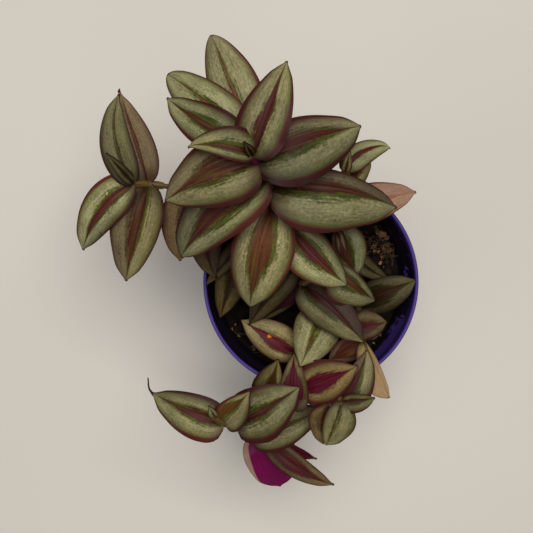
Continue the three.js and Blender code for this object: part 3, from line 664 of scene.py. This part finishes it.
def pot_finish(pot):
    """Moulded satin plastic; below the rim its inside is darkened by compost dust and by painted shade, but
    for wiped patches.
    """
    made = Finish("pot_plastic")
    place = made.place()
    cloud = made.noise(place, 60.0, 4.0, 0.6)
    grain = made.noise(place, 2500.0, 2.0, 0.6)
    skin = made.shade(pot.colour, made.between(cloud, 0.3, 0.7, 0.85, 1.12))
    depth = made.split(made.stored("depth"))[0]
    crumbly = made.between(made.noise(place, 500.0, 3.0, 0.6), 0.3, 0.7, -1.0, 1.0)
    # Compost dust and painted shade: from just under the rim the inner wall is darkened, fully on the left
    # side and a little over half on the right, and deeper down all round, starting lower at the lower right.
    below = made.between(made.math("MULTIPLY_ADD", crumbly, 0.4, depth), 0.8, 1.8)
    sideways, lengthways, _ = made.split(place)
    scraped = made.times(made.between(sideways, 0.01, 0.03), made.between(lengthways, -0.01, -0.02))
    film = made.math("MULTIPLY_ADD", scraped, -4.0, depth)
    deep = made.between(made.math("MULTIPLY_ADD", crumbly, 1.5, film), 4.5, 6.5)
    thin = made.between(sideways, -0.02, 0.03, 1.0, 0.55)
    dust_and_shade = made.times(below, made.math("MAXIMUM", thin, deep))
    wiped = 0.0
    for spot, reach in WIPED_SPOTS:
        away = made.node("ShaderNodeVectorMath", {0: place, 1: seen(spot)}, operation="DISTANCE")
        gap = made.math("MULTIPLY_ADD", crumbly, 0.0012, away.outputs["Value"])
        clean = made.between(gap, (reach - 0.3) * MM, (reach + 0.5) * MM, 1.0, 0.0)
        wiped = made.math("MAXIMUM", wiped, clean)
    dust_and_shade = made.times(dust_and_shade, made.less(1.0, wiped))
    skin = made.mix(dust_and_shade, skin, pot.dust_and_shade)
    made.bump(grain, 0.12, 0.0001)
    rough = made.between(cloud, 0.3, 0.7, 0.4, 0.5)
    return made.finish(skin, rough, 0.22)


def soil_finish(soil):
    """Near-black compost: dark compost, darkened further as painted shade deep in the pot; the stored share
    turns a crumb to tan bark.
    """
    made = Finish("compost")
    bark, shade, _ = made.split(made.stored("crumb"))
    grit = made.noise(made.place(), 1400.0, 4.0, 0.7)
    clod = made.noise(made.place(), 220.0, 3.0, 0.6)
    dark = made.mix(made.between(clod, 0.35, 0.65), soil.colour, soil.light_colour)
    tan = made.shade(soil.bark_colour, made.between(grit, 0.2, 0.8, 0.5, 1.4))
    skin = made.mix(bark, dark, tan)
    skin = made.shade(skin, made.add(0.6, shade))
    made.bump(made.add(grit, clod), 0.9, 0.0006)
    return made.finish(skin, 0.9, 0.15)


def floor_finish(stage):
    """A plain pale floor."""
    made = Finish("floor")
    cloud = made.noise(made.place(), 3.0, 2.0, 0.5)
    skin = made.shade(stage.floor_colour, made.between(cloud, 0.3, 0.7, 0.97, 1.03))
    return made.finish(skin, 0.6, 0.3)


# Leaf and stem forms
OUTLINE_START = 0.004
TIP_HALF_WIDTH = 0.35
POINT_REACH = 0.16
POINT_TAPER = 0.3
HANDLE = 0.37
ARCH = 1.3
CLASP_DEG = 48
CLASP_REACH = 0.22
TIP_FOLD_DEG = 26
TIP_REACH = 0.3
CURL_DEG = 34
VEIN_HEIGHT = 0.035
VEINS = 5
GROOVE_DEPTH = 0.16
GROOVE_WIDTH = 0.05
WAVE_HEIGHT = 0.3
WAVES = 1.2
FULL_WAVE_WIDTH = 20
CURL_RADIUS = 0.55
CURL_SIDES = 8
SPOT_ACROSS = -0.023
SPOT_ALONG = 0.512
SPOT_WIDTH = 0.1
SPOT_LENGTH = 0.035
FIBRE_RADIUS = 0.13
FIBRE_SIDES = 5
ROOT_DEPTH = 12
STEM_STEP = 1.6
STEM_SIDES = 12
STEM_TAPER = 0.25
STEM_SLIM = 0.86
NODE_SWELL = 0.22
NODE_SPREAD = 1.3
SHEATH_STEPS = 4
LARGE_LEAF_WIDTH = 9
LEAF_SEED = 5
YOUNG_LENGTH = 9


def outline(along, rise, fall):
    """Half width of a blade along its length, as a share of its widest."""

    def at(place):
        return (place + OUTLINE_START) ** rise * (1 - place) ** fall

    return at(along) / at((rise - fall * OUTLINE_START) / (rise + fall))


class Blade:
    """The form of one leaf: a bent midrib with two halves that rise from it and curl down."""

    def __init__(self, leaf, base, seed):
        self.leaf = leaf
        self.seed = seed
        tip = seen(leaf["tip"])
        chord = tip - base
        heading = math.atan2(chord.y, chord.x)
        slope = math.asin(chord.z / chord.length)

        def reach(turn, tilt):
            away = slope + math.radians(ARCH * tilt)
            round_ = heading + math.radians(turn)
            aim = (math.cos(away) * math.cos(round_), math.cos(away) * math.sin(round_), math.sin(away))
            return Vector(aim) * HANDLE * chord.length

        after = base + reach(-leaf["sweep"], leaf["lift"])
        before = tip - reach(leaf["sweep"], -leaf["droop"])
        self.points = base, after, before, tip
        self.left = Vector((-math.sin(heading), math.cos(heading), 0))
        self.stations = {}

    def station(self, along):
        """Middle, left, up and half-opening angle at a share of the length."""
        if along not in self.stations:
            a, b, c, d = self.points
            rest = 1 - along
            middle = a * rest**3 + b * (3 * along * rest**2) + c * (3 * along**2 * rest) + d * along**3
            ahead = (b - a) * rest**2 + (c - b) * (2 * along * rest) + (d - c) * along**2
            ahead.normalize()
            left = (self.left - ahead * self.left.dot(ahead)).normalized()
            left.rotate(Matrix.Rotation(math.radians(self.leaf["roll"]), 3, ahead))
            fold = self.leaf["fold"]
            clasp = max(0, 1 - along / CLASP_REACH) ** 1.5
            pinch = max(0, 1 - (1 - along) / TIP_REACH) ** 1.5
            opening = fold + (max(CLASP_DEG, fold) - fold) * clasp + TIP_FOLD_DEG * pinch
            self.stations[along] = middle, left, ahead.cross(left), math.radians(opening)
        return self.stations[along]

    def place(self, across, along):
        """A point of the upper face: across from -1 on the right to 1 on the left margin."""
        leaf = self.leaf
        middle, left, up, opening = self.station(along)
        half = leaf["width"] * (leaf["share"] if across > 0 else 1 - leaf["share"])
        point = min(1, ((1 - along) / POINT_REACH) ** POINT_TAPER) if leaf["pointed"] else 1
        half = max(TIP_HALF_WIDTH, half * outline(along, leaf["rise"], leaf["fall"]) * point) * MM
        curl = math.radians(CURL_DEG)
        slope = opening - curl * abs(across)
        way = 1 if across > 0 else -1
        out = way * half * (math.sin(opening) - math.sin(slope)) / curl
        lifted = half * (math.cos(slope) - math.cos(opening)) / curl
        lean = slope if across else 0
        normal = up * math.cos(lean) - left * (way * math.sin(lean))
        return middle + left * out + up * lifted + normal * self.relief(across, along)

    def relief(self, across, along):
        """Shallow veins, a groove at the midrib and a slow wave at the margin."""
        body = math.sin(math.pi * min(1, along * 1.05)) ** 0.5 if along < 0.95 else 0.2
        veins = VEIN_HEIGHT * math.cos(abs(across) * math.pi * 2 * VEINS) * body
        groove = -GROOVE_DEPTH * math.exp(-((across / GROOVE_WIDTH) ** 2)) * body
        turns = 2 * math.pi * (WAVES * along + self.seed)
        width_share = min(1, self.leaf["width"] / FULL_WAVE_WIDTH)
        wave = WAVE_HEIGHT * math.sin(turns) * across**2 * width_share * body
        return (veins + groove + wave) * MM


def blank_blade(name, columns, rows):
    """A flat grid from -1 to 1, copied for every leaf."""
    start_clean()
    bpy.ops.mesh.primitive_grid_add(x_subdivisions=columns, y_subdivisions=rows, size=2)
    piece = bpy.context.object
    piece.name = name
    return piece


# The names under which a leaf's own values are stored, three by three, for the finishes
STORED_LOOKS = {
    "stripe": ("stripe", "hue", "lean"),
    "tone_and_painted_light": ("warm", "light", "aged"),
    "edge": ("margin", "rib", "green"),
    "veil": ("veil_left", "veil_right", "strip"),
    "painted_shade_and_spot": ("tilt", "painted_shade_along", "spotted"),
}


def write_look(piece, leaf, marks):
    """Stores the places on the blade, the leaf's own colours and its painted light and shade, for the
    finishes.
    """
    write_values(piece, "blade", marks)
    for name, keys in STORED_LOOKS.items():
        write_values(piece, name, [[leaf[key] for key in keys]] * len(marks))


def make_leaf(template, leaf, base, seed, thickness, finishes):
    """One leaf: the flat grid laid over its blade's form and given its thickness."""
    piece = copy_of(template)
    blade = Blade(leaf, base, seed)
    marks = []
    for vert in piece.data.vertices:
        across, along = -vert.co.x, round((vert.co.y + 1) / 2, 5)
        marks.append((across, along, seed))
        vert.co = blade.place(across, along)
    write_look(piece, leaf, marks)
    for finish in finishes:
        piece.data.materials.append(finish)
    choose(piece)
    wall = piece.modifiers.new("thickness", "SOLIDIFY")
    wall.thickness = thickness
    wall.offset = -1
    wall.material_offset = 1
    wall.material_offset_rim = 0
    bpy.ops.object.modifier_apply(modifier=wall.name)
    return piece


def make_curl(leaf, finishes):
    """The dried point of a leaf, curled on past its tip."""
    route = [seen(place) for place in (leaf["tip"], *leaf["curl"])]
    start = route[0] + (route[0] - route[1]) * 0.4
    route = [start, *smooth_route(route, 5)]
    radii = [CURL_RADIUS * MM * (1 - 0.6 * i / len(route)) for i in range(len(route))]
    piece = sweep("curl", tube_rings(route, radii), CURL_SIDES)
    write_look(piece, leaf, [(1.0, 1.0, 0.5)] * len(piece.data.vertices))
    bare(piece)
    for finish in finishes:
        piece.data.materials.append(finish)
    return piece


def smooth_route(keys, steps):
    """Points along a smooth line through the keys, with that many steps from each to the next."""
    ends = [keys[0] * 2 - keys[1], *keys, keys[-1] * 2 - keys[-2]]
    counts = steps if isinstance(steps, list) else [steps] * (len(keys) - 1)
    route = []
    for i, count in enumerate(counts):
        p0, p1, p2, p3 = ends[i : i + 4]
        d0, d1, d2 = (max(1e-4, (b - a).length ** 0.5) for a, b in ((p0, p1), (p1, p2), (p2, p3)))
        leave = ((p1 - p0) / d0 - (p2 - p0) / (d0 + d1) + (p2 - p1) / d1) * d1
        arrive = ((p2 - p1) / d1 - (p3 - p1) / (d1 + d2) + (p3 - p2) / d2) * d1
        bend = p1 * -3 + p2 * 3 - leave * 2 - arrive
        end = p1 * 2 - p2 * 2 + leave + arrive
        for t in (k / count for k in range(count)):
            route.append(p1 + leave * t + bend * t**2 + end * t**3)
    return [*route, keys[-1]]


def stem_route(nodes):
    """Points along a stem from its root to its tip, and where among them each node is."""
    places = [seen(node) for node in nodes]
    level = (POT_TOP - SOIL_BELOW_RIM) * MM
    depths = (ROOT_DEPTH, ROOT_DEPTH / 2, 0)
    roots = [Vector((places[0].x, places[0].y, level - depth * MM)) for depth in depths]
    keys = roots + places
    counts = [max(2, round((b - a).length / (STEM_STEP * MM))) for a, b in zip(keys, keys[1:])]
    marks = [sum(counts[:i]) for i in range(len(roots), len(keys))]
    return smooth_route(keys, counts), marks


def tube_rings(route, radii):
    """Rings along a route, turned as little as possible from one to the next."""
    rings = []
    right = Vector((1, 0, 0))
    for i, centre in enumerate(route):
        ahead = (route[min(i + 1, len(route) - 1)] - route[max(i - 1, 0)]).normalized()
        right = (right - ahead * right.dot(ahead)).normalized()
        rings.append((centre, right, ahead.cross(right), radii[i]))
    return rings


def bare(piece):
    """Drops the numbers that a sweep left on the mesh."""
    for name in ("turn", "step"):
        piece.data.attributes.remove(piece.data.attributes[name])


def mark_tube(piece, route, share, left):
    """Stores each vertex's place round the tube and along it, and how young the stem is there."""
    turns = [value.value for value in piece.data.attributes["turn"].data]
    steps = [int(value.value) for value in piece.data.attributes["step"].data]
    lengths = [0.0]
    for a, b in zip(route, route[1:]):
        lengths.append(lengths[-1] + (b - a).length)
    marks = [(math.cos(t), math.sin(t), lengths[s]) for t, s in zip(turns, steps)]
    young = [share * max(0, 1 - (lengths[-1] - lengths[s] + left) / (YOUNG_LENGTH * MM)) for s in steps]
    write_values(piece, "blade", marks)
    write_values(piece, "stripe", [(value, 0, 0) for value in young])


def make_stem(nodes, stem, young):
    """A stem that swells a little at its nodes, with a sheath below each one."""
    route, marks = stem_route(nodes)
    radii = []
    for i in range(len(route)):
        swell = max(math.exp(-(((i - mark) / NODE_SPREAD) ** 2)) for mark in marks)
        taper = 1 - STEM_TAPER * i / len(route)
        radii.append(stem.radius * (STEM_SLIM + NODE_SWELL * swell) * taper)
    radii[-1] *= 0.5
    tubes = [sweep("stem", tube_rings(route, radii), STEM_SIDES)]
    mark_tube(tubes[0], route, young, 0)
    for mark in marks[1:]:
        span = route[max(1, mark - SHEATH_STEPS) : mark + 1]
        if len(span) < 3:
            continue
        wide = [stem.radius * (1.0 + NODE_SWELL * k / (len(span) - 1)) for k in range(len(span))]
        wide[0] *= 0.9
        sheath = sweep("sheath", tube_rings(span, wide), STEM_SIDES)
        mark_tube(sheath, span, young, (route[-1] - route[mark]).length)
        tubes.append(sheath)
    for tube in tubes:
        bare(tube)
    return tubes


# Pot and soil forms
def inner_radius(height):
    """The pot's inner radius at a height, in millimetres."""
    return BASE_RADIUS + SIDE_SLOPE * height - WALL


def depth_inside(place):
    """How far below the top of the rim a place on the pot's inner side is, in millimetres."""
    height = place.z / MM
    wall = RIM_RADIUS - RIM_WIDTH if height > POT_TOP - RIM_BAND else inner_radius(height)
    inside = math.hypot(place.x, place.y) / MM < wall + WALL / 2 and height > FLOOR_THICKNESS / 2
    return POT_TOP - height if inside else 0


def soil_height(x, y, relief):
    """The soil's surface, in millimetres above the floor the pot stands on."""
    level = POT_TOP - SOIL_BELOW_RIM
    uneven = sum(noise.noise(Vector((x, y, layer)) * rate) * rise for layer, rate, rise in SOIL_SWELLS)
    mound = 0
    for place, spread, rise, _ in HEAPS:
        middle = seen((*place, -SOIL_BELOW_RIM)) / MM
        mound += rise * math.exp(-((x - middle.x) ** 2 + (y - middle.y) ** 2) / (2 * spread**2))
    inside = 1 - math.hypot(x, y) / (inner_radius(level) - SOIL_TO_WALL)
    return level + (relief * uneven + mound) * min(1, EDGE_STEEPNESS * max(0, inside) + EDGE_RELIEF)


def wall_overreach(place):
    """How far a point on the soil lies past the gap that it keeps to the pot's wall, in metres."""
    return math.hypot(place.x, place.y) - (inner_radius(place.z / MM) - SOIL_TO_WALL) * MM


# Settings
def length(name, description, default):
    return FloatProperty(name=name, description=description, default=default, unit="LENGTH", precision=4)


def colour(name, description, default):
    return FloatVectorProperty(
        name=name, description=description, default=default, subtype="COLOR", size=3, min=0, max=1
    )


class TradescantiaPot(bpy.types.PropertyGroup):
    """Sizes and colour of the nursery pot."""

    rim_radius: length("Rim radius", "Half the width across the rim", RIM_RADIUS * MM)
    wall: length("Wall", "Thickness of the moulded wall", WALL * MM)
    sides: IntProperty(name="Sides", description="Faces round the pot", default=128, min=24, max=256)
    colour: colour("Plastic", "Colour of the pot", (0.066, 0.037, 0.24))
    # Colour of compost dust on the inner wall, also used as painted shade inside the pot
    dust_and_shade: colour("Stain", "Compost dust on the inner wall", (0.006, 0.004, 0.01))


class TradescantiaSoil(bpy.types.PropertyGroup):
    """Relief, crumbs and colours of the compost."""

    relief: FloatProperty(name="Relief", description="How uneven the surface is", default=1.0, min=0, max=3)
    crumbs: IntProperty(name="Crumbs", description="Loose dark crumbs", default=520, min=0, max=2000)
    barks: IntProperty(name="Bark", description="Tan bark chips and fibres", default=300, min=0, max=1000)
    # The compost colours are darker than the compost itself: painted shade for the depth of the pot
    colour: colour("Compost", "Darkest compost", (0.003, 0.002, 0.002))
    light_colour: colour("Dry compost", "Lighter compost", (0.011, 0.007, 0.006))
    bark_colour: colour("Bark", "Tan bark", (0.2, 0.11, 0.055))


class TradescantiaLeaf(bpy.types.PropertyGroup):
    """Thickness and colours of the leaves."""

    thickness: length("Thickness", "Thickness of a blade", 0.45 * MM)
    silver: colour("Silver", "Cool silver band", (0.228, 0.232, 0.118))
    silver_warm: colour("Warm silver", "Silver band of older leaves", (0.252, 0.182, 0.062))
    olive: colour("Olive", "Green between stripe and band", (0.055, 0.07, 0.01))
    olive_warm: colour("Warm olive", "Olive of older leaves", (0.08, 0.07, 0.01))
    brown: colour("Rusty brown", "Middle stripe of the lower leaves", (0.09, 0.036, 0.008))
    maroon: colour("Maroon", "Middle stripe of most leaves", (0.07, 0.015, 0.012))
    magenta: colour("Magenta", "Middle stripe of the brightest leaves", (0.085, 0.004, 0.015))
    margin: colour("Margin", "Thin dark margin", (0.058, 0.011, 0.01))
    veil: colour("Veil", "Purple brown that covers some halves", (0.1, 0.055, 0.045))
    rib: colour("Rib", "Pink line on the midrib", (0.16, 0.06, 0.045))
    dry: colour("Dry", "Tan of a dying leaf", (0.36, 0.24, 0.125))
    spot: colour("Spot", "Rusty spot on one leaf", (0.55, 0.17, 0.01))
    under: colour("Underside", "Back of the leaves", (0.155, 0.004, 0.062))
    under_tan: colour("Underside strip", "Strip beside a folded margin", (0.33, 0.2, 0.15))
    roughness: FloatProperty(name="Roughness", description="How dull the face is", default=0.45, min=0, max=1)
    gloss: FloatProperty(name="Gloss", description="Strength of its reflections", default=0.1, min=0, max=1)


class TradescantiaStem(bpy.types.PropertyGroup):
    """Size and colours of the stems."""

    radius: length("Radius", "Radius of a stem at its root", 1.5 * MM)
    colour: colour("Stem", "Olive of the stems", (0.12, 0.085, 0.018))
    streak: colour("Streak", "Purple streaks", (0.07, 0.02, 0.02))
    young: colour("Growing tip", "Magenta of the youngest growth", (0.09, 0.008, 0.035))


class TradescantiaStage(bpy.types.PropertyGroup):
    """Floor, light and camera height."""

    floor_colour: colour("Floor", "Pale floor", (0.72, 0.69, 0.63))
    key_power: FloatProperty(name="Key light", description="Power of the big soft light", default=9.6, min=0)
    fill_power: FloatProperty(name="Fill light", description="Power of the second light", default=1.5, min=0)
    sky: FloatProperty(name="Sky", description="Strength of the even light all round", default=0.2, min=0)
    view_height: length("View height", "Camera above the rim", VIEW_ABOVE_RIM * MM)


SETTINGS = {
    "tradescantia_pot": TradescantiaPot,
    "tradescantia_soil": TradescantiaSoil,
    "tradescantia_leaf": TradescantiaLeaf,
    "tradescantia_stem": TradescantiaStem,
    "tradescantia_stage": TradescantiaStage,
}


# Operators
class TRADESCANTIA_OT_pot(bpy.types.Operator):
    """Turns the nursery pot up from a circle, with its rim, band, floor and drain holes"""

    bl_idname = "tradescantia.pot"
    bl_label = "Nursery pot"

    def execute(self, context):
        pot = context.scene.tradescantia_pot
        rim = pot.rim_radius / MM
        low = POT_TOP - RIM_BAND
        inner = rim - RIM_WIDTH
        middle = rim - RIM_WIDTH / 2
        bend = RIM_WIDTH / 2
        roll = []
        for i in range(ROLL_STEPS + 1):
            turn = math.pi * i / ROLL_STEPS
            roll.append((middle + bend * math.cos(turn), POT_TOP - bend + bend * math.sin(turn)))
        profile = [
            (BASE_RADIUS - 2.5, 0),
            (BASE_RADIUS - 1, 0),
            (BASE_RADIUS - 0.3, 0.3),
            (BASE_RADIUS, 1),
            (BASE_RADIUS + 0.25, 2.5),
            (SHOULDER_RADIUS - 0.15, low - 1),
            (SHOULDER_RADIUS, low - 0.15),
            (SHOULDER_RADIUS + 0.3, low),
            (rim - 0.3, low),
            (rim, low + 0.3),
            (rim, low + 1),
            *roll,
            (inner, low + 2),
            (inner - 0.2, low + WALL),
            (inner_radius(low) + 0.1, low - WALL + 0.4),
            (inner_radius(low - 3), low - 3),
            (inner_radius(4), 4),
            (inner_radius(FLOOR_THICKNESS) - 0.4, FLOOR_THICKNESS + 0.3),
            (inner_radius(FLOOR_THICKNESS) - 1.5, FLOOR_THICKNESS),
        ]
        shell = sweep("nursery_pot", upright_rings(profile), pot.sides)
        bare(shell)
        drills = []
        for i in range(DRAIN_COUNT):
            turn = 2 * math.pi * i / DRAIN_COUNT
            start_clean()
            bpy.ops.mesh.primitive_cylinder_add(
                vertices=24,
                radius=DRAIN_RADIUS * MM,
                depth=8 * MM,
                location=(DRAIN_RING * MM * math.cos(turn), DRAIN_RING * MM * math.sin(turn), 0),
            )
            drills.append(bpy.context.object)
        drill = join("drill", drills)
        settle(drill)
        choose(shell)
        cut = shell.modifiers.new("drain", "BOOLEAN")
        cut.object = drill
        cut.solver = "EXACT"
        bpy.ops.object.modifier_apply(modifier=cut.name)
        bpy.data.objects.remove(drill)
        write_values(shell, "depth", [(depth_inside(vert.co), 0, 0) for vert in shell.data.vertices])
        choose(shell)
        smooth(40)
        dress(shell, "pot", "pot_plastic", pot_finish(pot))
        return {"FINISHED"}


class TRADESCANTIA_OT_soil(bpy.types.Operator):
    """Fills the pot with uneven compost, and strews it with crumbs, bark and fibres"""

    bl_idname = "tradescantia.soil"
    bl_label = "Potting soil"

    def execute(self, context):
        soil = context.scene.tradescantia_soil
        level = POT_TOP - SOIL_BELOW_RIM
        radius = inner_radius(level) - SOIL_TO_WALL
        shoulder = inner_radius(SOIL_SHOULDER)
        rings = [(shoulder - 2, SOIL_BOTTOM), (shoulder - 0.4, SOIL_SHOULDER)]
        for i in range(SOIL_RINGS, 0, -1):
            rings.append((radius * i / SOIL_RINGS, level))
        body = sweep("potting_soil", upright_rings(rings), SOIL_SIDES)
        bare(body)
        for vert in body.data.vertices:
            if vert.co.z > (level - 1) * MM:
                vert.co.z = soil_height(vert.co.x / MM, vert.co.y / MM, soil.relief) * MM
        write_values(body, "crumb", [(0, 0.4, 0)] * len(body.data.vertices))
        choose(body)
        smooth(60)
        parts = [body, *self.strew(soil, radius)]
        dress(join("potting_soil", parts), "soil", "soil", soil_finish(soil))
        return {"FINISHED"}

    def crumb(self, name, stretch, seed):
        """One lumpy crumb, about a millimetre across before it is sized."""
        start_clean()
        bpy.ops.mesh.primitive_ico_sphere_add(subdivisions=2, radius=0.5 * MM)
        piece = bpy.context.object
        piece.name = name
        for vert in piece.data.vertices:
            push = 1 + 0.5 * noise.noise(vert.co / MM * 2.3 + Vector((seed, seed * 2, 0)))
            vert.co = Vector([vert.co[i] * stretch[i] for i in range(3)]) * push
        return piece

    def strew(self, soil, radius):
        """Copies of a few crumbs, chips and fibres, laid on the surface and heaped up."""
        draw = random.Random(SOIL_SEED)
        crumbs = [self.crumb("crumb", (1, 0.8, 0.6), seed) for seed in (1.3, 4.1, 7.7)]
        chips = [self.crumb("chip", (1.5, 0.8, 0.45), 2.2), self.crumb("chip", (1, 0.8, 0.6), 5.9)]
        fibres = [self.fibre(bend) for bend in (0.3, -0.5, 0.8)]
        laid = []

        def lay(template, x, y, size, bark, shade, lift=0.1, tilt=0.5):
            piece = copy_of(template)
            turn = Matrix.Rotation(draw.uniform(0, 2 * math.pi), 4, "Z")
            lean = Matrix.Rotation(draw.uniform(-tilt, tilt), 4, "X")
            tip = Matrix.Rotation(draw.uniform(-tilt, tilt), 4, "Y")
            piece.data.transform(turn @ lean @ tip @ Matrix.Scale(size, 4))
            spot = Vector((x, y, soil_height(x, y, soil.relief) + lift)) * MM
            over = max(wall_overreach(spot + vert.co) for vert in piece.data.vertices)
            if over > 0:
                spot += Vector((-x, -y, 0)).normalized() * over
                spot.z = (soil_height(spot.x / MM, spot.y / MM, soil.relief) + lift) * MM
            piece.data.transform(Matrix.Translation(spot))
            write_values(piece, "crumb", [(bark, shade, 0)] * len(piece.data.vertices))
            laid.append(piece)

        for _ in range(soil.crumbs):
            away = radius * math.sqrt(draw.random()) * 0.98
            turn = draw.uniform(0, 2 * math.pi)
            size = draw.uniform(*CRUMB_SIZES)
            x, y = away * math.cos(turn), away * math.sin(turn)
            lay(draw.choice(crumbs), x, y, size, 0, draw.uniform(0.1, 0.9))
        for _ in range(soil.barks):
            place, spread, _, _ = draw.choices(HEAPS, [heap[3] for heap in HEAPS])[0]
            middle = seen((*place, -SOIL_BELOW_RIM)) / MM
            x = middle.x + draw.gauss(0, spread)
            y = middle.y + draw.gauss(0, spread)
            if math.hypot(x, y) > radius - 1.5:
                continue
            if draw.random() < FIBRE_SHARE:
                size = draw.uniform(*FIBRE_SIZES)
                lay(draw.choice(fibres), x, y, size, draw.random(), draw.uniform(0.2, 0.8), 1.0, 0.35)
            else:
                size = draw.triangular(*CHIP_SIZES)
                lay(draw.choice(chips), x, y, size, draw.random() ** 3, draw.uniform(0, 1), 0.4, 0.9)
        for place, size, bark in LOOSE_BITS:
            spot = seen(place) / MM
            lay(draw.choice(chips), spot.x, spot.y, size, bark, 0.6, min(0.8, 0.4 * size), 0.6)
        for template in crumbs + chips + fibres:
            bpy.data.objects.remove(template)
        return laid

    def fibre(self, bend):
        """A thin bent root fibre, about six millimetres long before it is sized."""
        keys = [Vector((k - 1.5, bend * math.sin(k * 1.7), 0.3 * math.cos(k * 2))) * 2 * MM for k in range(4)]
        route = smooth_route(keys, 3)
        piece = sweep("fibre", tube_rings(route, [FIBRE_RADIUS * MM] * len(route)), FIBRE_SIDES)
        bare(piece)
        return piece


class TRADESCANTIA_OT_shoots(bpy.types.Operator):
    """Grows the leafy stems: each one a stem with sheaths, and its leaves laid over their forms"""

    bl_idname = "tradescantia.shoots"
    bl_label = "Leafy stems"

    def execute(self, context):
        leaf_settings = context.scene.tradescantia_leaf
        stem_settings = context.scene.tradescantia_stem
        finishes = (
            leaf_face_finish(leaf_settings),
            leaf_back_finish(leaf_settings),
            stem_finish(stem_settings),
        )
        large = blank_blade("large_blade", 28, 30)
        small = blank_blade("small_blade", 12, 16)
        draw = random.Random(LEAF_SEED)
        for shoot in SHOOTS:
            parts = make_stem(shoot["nodes"], stem_settings, shoot.get("young", 0))
            for part in parts:
                for finish in finishes:
                    part.data.materials.append(finish)
                for face in part.data.polygons:
                    face.material_index = 2
            for row in shoot["leaves"]:
                leaf = {**PLAIN_LEAF, **row}
                template = large if leaf["width"] >= LARGE_LEAF_WIDTH else small
                base = seen(shoot["nodes"][leaf["node"]])
                piece = make_leaf(template, leaf, base, draw.random(), leaf_settings.thickness, finishes)
                parts.append(piece)
                if "curl" in leaf:
                    parts.append(make_curl(leaf, finishes))
            whole = join(shoot["piece"], parts)
            settle(whole)
            smooth(60)
            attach(whole, BODY)
            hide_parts(shoot["node"])
        bpy.data.objects.remove(large)
        bpy.data.objects.remove(small)
        return {"FINISHED"}


class TRADESCANTIA_OT_stage(bpy.types.Operator):
    """Lays the pale floor, hangs the soft lights and sets the camera above the pot"""

    bl_idname = "tradescantia.stage"
    bl_label = "Stage"

    def execute(self, context):
        stage = context.scene.tradescantia_stage
        start_clean()
        bpy.ops.mesh.primitive_plane_add(size=6)
        floor = context.object
        floor.name = "floor"
        floor.data.materials.append(floor_finish(stage))

        self.light("key_light", (0.1, 0.25, 1.1), 0.8, stage.key_power, (1.0, 0.97, 0.92))
        self.light("fill_light", (-0.9, -0.5, 0.7), 0.6, stage.fill_power, (0.95, 0.97, 1.0))

        world = bpy.data.worlds.new("soft_sky")
        world.use_nodes = True
        sky = world.node_tree.nodes["Background"].inputs
        sky["Color"].default_value = (1.0, 0.98, 0.95, 1)
        sky["Strength"].default_value = stage.sky
        context.scene.world = world
        context.scene.view_settings.view_transform = "Standard"

        x = (PHOTO_MIDDLE - POT_COLUMN) * PIXEL * MM
        y = (POT_ROW - PHOTO_MIDDLE) * PIXEL * MM
        start_clean()
        bpy.ops.object.camera_add(location=(x, y, POT_TOP * MM + stage.view_height), rotation=(0, 0, 0))
        camera = context.object
        camera.name = "camera"
        camera.data.sensor_width = 36
        focal_pixels = stage.view_height / (PIXEL * MM)
        camera.data.lens = camera.data.sensor_width * focal_pixels / PHOTO_WIDTH
        camera.data.clip_start = 0.01
        context.scene.camera = camera
        return {"FINISHED"}

    def light(self, name, place, size, power, tint):
        """A square soft light that looks at the middle of the plant."""
        start_clean()
        aim = Vector((0, 0, 0.09)) - Vector(place)
        turn = aim.to_track_quat("-Z", "Y").to_euler()
        bpy.ops.object.light_add(type="AREA", location=place, rotation=turn)
        light = bpy.context.object
        light.name = name
        light.data.size = size
        light.data.energy = power
        light.data.color = tint
        light.visible_camera = False


class VIEW3D_PT_tradescantia(bpy.types.Panel):
    """Lists the steps and their settings"""

    bl_label = "Potted tradescantia"
    bl_space_type = "VIEW_3D"
    bl_region_type = "UI"
    bl_category = "Tradescantia"

    def draw(self, context):
        for step in STEPS:
            self.layout.operator(step.bl_idname)
        for name, group in SETTINGS.items():
            box = self.layout.box()
            box.label(text=group.__doc__)
            for prop in group.__annotations__:
                box.prop(getattr(context.scene, name), prop)


STEPS = (TRADESCANTIA_OT_stage, TRADESCANTIA_OT_pot, TRADESCANTIA_OT_soil, TRADESCANTIA_OT_shoots)
CLASSES = (*SETTINGS.values(), *STEPS, VIEW3D_PT_tradescantia)


def register():
    for cls in CLASSES:
        bpy.utils.register_class(cls)
    for name, group in SETTINGS.items():
        setattr(bpy.types.Scene, name, PointerProperty(type=group))


def unregister():
    for name in SETTINGS:
        delattr(bpy.types.Scene, name)
    for cls in reversed(CLASSES):
        bpy.utils.unregister_class(cls)


def main():
    """Builds everything in order."""
    register()
    bpy.ops.tradescantia.stage()
    bpy.ops.tradescantia.pot()
    bpy.ops.tradescantia.soil()
    bpy.ops.tradescantia.shoots()


if __name__ == "__main__":
    main()
